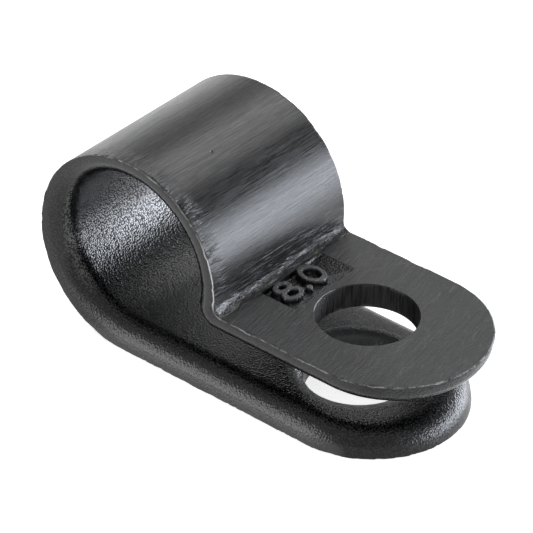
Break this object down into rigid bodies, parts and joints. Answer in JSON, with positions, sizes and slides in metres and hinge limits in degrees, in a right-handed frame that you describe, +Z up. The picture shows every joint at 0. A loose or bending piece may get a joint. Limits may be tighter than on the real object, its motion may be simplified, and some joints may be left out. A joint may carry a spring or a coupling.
{
  "type": "p clip",
  "caption": "Black moulded nylon P clip that loops round a cable and is screwed down through its round-ended ears.",
  "frame": {"origin": "centre of the lower ear's screw hole, on the flat underside that meets the mounting surface", "axes": "+X from the cable loop towards the ears' round ends, +Y along the cable, +Z up from the mounting surface"},
  "size_m": [0.022, 0.0094, 0.0106],
  "materials": {
    "nylon": "satin outside, spark-textured inside"
  },
  "bodies": {
    "root": {"clip_body": "nylon"}
  },
  "joints": []
}
